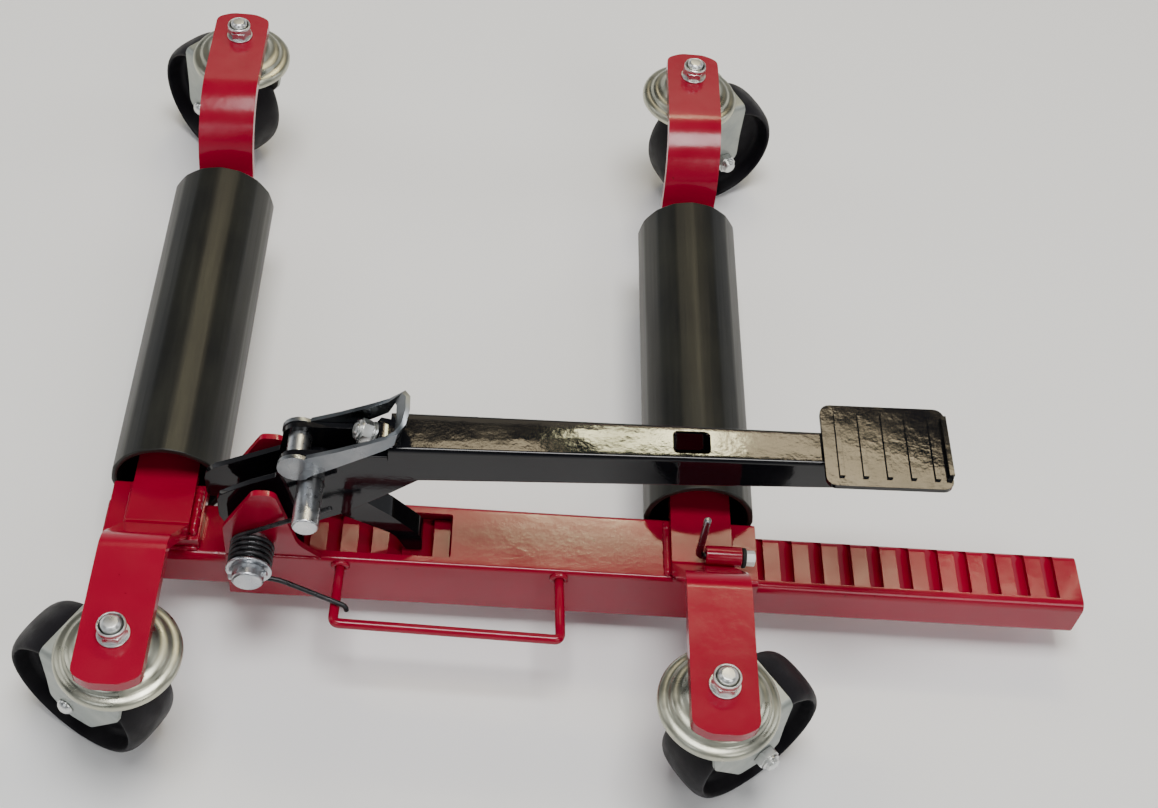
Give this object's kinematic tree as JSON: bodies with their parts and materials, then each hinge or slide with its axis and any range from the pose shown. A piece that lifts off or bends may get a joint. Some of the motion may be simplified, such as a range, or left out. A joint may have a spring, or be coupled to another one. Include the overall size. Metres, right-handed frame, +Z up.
{
  "type": "wheel dolly",
  "caption": "Foot-operated wheel dolly: cranked arms with long rollers on a telescoping ratchet beam, swivel casters, and a pedal lever that draws the arms together.",
  "frame": {"origin": "centre of the bounding box at floor level, under the wheels", "axes": "+X along the beam toward the pedal's foot plate, +Y along the rollers away from the beam, +Z up"},
  "size_m": [0.8589, 0.8028, 0.247],
  "materials": {
    "red_paint": "gloss",
    "black_gloss": "gloss",
    "roller_black": "satin",
    "zinc": "satin",
    "steel": "satin",
    "wheel_black": "satin",
    "nylon": "matte",
    "rubber": "matte",
    "spring_wire": "satin"
  },
  "bodies": {
    "frame": {"outer_tube": "red_paint", "bracket_plate_near": "red_paint", "bracket_plate_far": "red_paint", "right_arm": "red_paint", "slide_pad_lower": "nylon", "slide_pad_upper": "nylon", "carry_handle": "red_paint", "bush_right_near": "nylon", "bush_right_far": "nylon", "race_cap_near_right": "zinc", "race_cap_far_right": "zinc", "stem_bolt_near_right": "zinc", "stem_bolt_far_right": "zinc", "stem_nut_near_right": "zinc", "stem_nut_far_right": "zinc", "pivot_shaft": "steel", "pivot_spacer_near": "steel", "pivot_spacer_far": "steel", "torsion_spring": "spring_wire", "spring_washer": "steel", "latch_sleeve": "red_paint"},
    "slider": {"rack_tube": "red_paint", "left_arm": "red_paint", "arm_spacer": "red_paint", "bush_left_near": "nylon", "bush_left_far": "nylon", "race_cap_near_left": "zinc", "race_cap_far_left": "zinc", "stem_bolt_near_left": "zinc", "stem_bolt_far_left": "zinc", "stem_nut_near_left": "zinc", "stem_nut_far_left": "zinc"},
    "roller_left": {"roller_left": "roller_black"},
    "roller_right": {"roller_right": "roller_black"},
    "caster_near_left": {"fork_near_left": "zinc", "axle_bolt_near_left": "zinc"},
    "wheel_near_left": {"wheel_near_left": "wheel_black"},
    "caster_far_left": {"fork_far_left": "zinc", "axle_bolt_far_left": "zinc"},
    "wheel_far_left": {"wheel_far_left": "wheel_black"},
    "caster_near_right": {"fork_near_right": "zinc", "axle_bolt_near_right": "zinc"},
    "wheel_near_right": {"wheel_near_right": "wheel_black"},
    "caster_far_right": {"fork_far_right": "zinc", "axle_bolt_far_right": "zinc"},
    "wheel_far_right": {"wheel_far_right": "wheel_black"},
    "pedal": {"lever_plate_near": "black_gloss", "lever_plate_far": "black_gloss", "pedal_tube": "black_gloss", "tube_end_cap": "nylon", "pedal_bolt": "steel", "foot_plate": "black_gloss", "pawl_pin": "steel", "bail_shaft": "steel"},
    "drive_pawl": {"drive_pawl": "black_gloss"},
    "holding_pawl": {"holding_pawl": "black_gloss"},
    "bail": {"release_bail": "zinc"},
    "latch": {"latch_rod": "steel", "latch_washer": "rubber", "latch_nut": "zinc"}
  },
  "joints": [
    {"name": "rack_slide", "type": "slide", "parent": "frame", "child": "slider", "axis": [1, 0, 0], "range_m": [-0.22, 0.005]},
    {"name": "roller_left_spin", "type": "hinge", "parent": "slider", "child": "roller_left", "pos_m": [-0.33515, 0.01254, 0.0808], "axis": [0, 1, 0], "continuous": true},
    {"name": "roller_right_spin", "type": "hinge", "parent": "frame", "child": "roller_right", "pos_m": [0.10405, 0.01134, 0.0808], "axis": [0, 1, 0], "continuous": true},
    {"name": "swivel_near_left", "type": "hinge", "parent": "slider", "child": "caster_near_left", "pos_m": [-0.33515, -0.34056, 0.129], "axis": [0, 0, 1], "continuous": true},
    {"name": "spin_near_left", "type": "hinge", "parent": "caster_near_left", "child": "wheel_near_left", "pos_m": [-0.36611, -0.32218, 0.0625], "axis": [-0.5105, -0.8599, 0], "continuous": true},
    {"name": "swivel_far_left", "type": "hinge", "parent": "slider", "child": "caster_far_left", "pos_m": [-0.33515, 0.32004, 0.129], "axis": [0, 0, 1], "continuous": true},
    {"name": "spin_far_left", "type": "hinge", "parent": "caster_far_left", "child": "wheel_far_left", "pos_m": [-0.36182, 0.34422, 0.0625], "axis": [-0.6717, -0.7408, 0], "continuous": true},
    {"name": "swivel_near_right", "type": "hinge", "parent": "frame", "child": "caster_near_right", "pos_m": [0.10405, -0.35496, 0.129], "axis": [0, 0, 1], "continuous": true},
    {"name": "spin_near_right", "type": "hinge", "parent": "caster_near_right", "child": "wheel_near_right", "pos_m": [0.13306, -0.33365, 0.0625], "axis": [-0.592, 0.8059, 0], "continuous": true},
    {"name": "swivel_far_right", "type": "hinge", "parent": "frame", "child": "caster_far_right", "pos_m": [0.10405, 0.31404, 0.129], "axis": [0, 0, 1], "continuous": true},
    {"name": "spin_far_right", "type": "hinge", "parent": "caster_far_right", "child": "wheel_far_right", "pos_m": [0.13581, 0.331, 0.0625], "axis": [-0.471, 0.8821, 0], "continuous": true},
    {"name": "pedal_hinge", "type": "hinge", "parent": "frame", "child": "pedal", "pos_m": [-0.25605, -0.18696, 0.103], "axis": [0, 1, 0], "range_deg": [-24, 6], "deforming": ["torsion_spring"]},
    {"name": "drive_pawl_hinge", "type": "hinge", "parent": "pedal", "child": "drive_pawl", "pos_m": [-0.21085, -0.18696, 0.165], "axis": [0, 1, 0], "range_deg": [-10, 37]},
    {"name": "holding_pawl_hinge", "type": "hinge", "parent": "frame", "child": "holding_pawl", "pos_m": [-0.25605, -0.18696, 0.103], "axis": [0, 1, 0], "range_deg": [-12, 0]},
    {"name": "bail_hinge", "type": "hinge", "parent": "pedal", "child": "bail", "pos_m": [-0.22055, -0.18696, 0.189], "axis": [0, 1, 0], "range_deg": [-45, 0]},
    {"name": "latch_hinge", "type": "hinge", "parent": "frame", "child": "latch", "pos_m": [0.11945, -0.20346, 0.1003], "axis": [1, 0, 0], "range_deg": [-80, 30]}
  ],
  "couplings": [
    {"joint": "drive_pawl_hinge", "follows": "pedal_hinge", "ratio": -1.5}
  ]
}
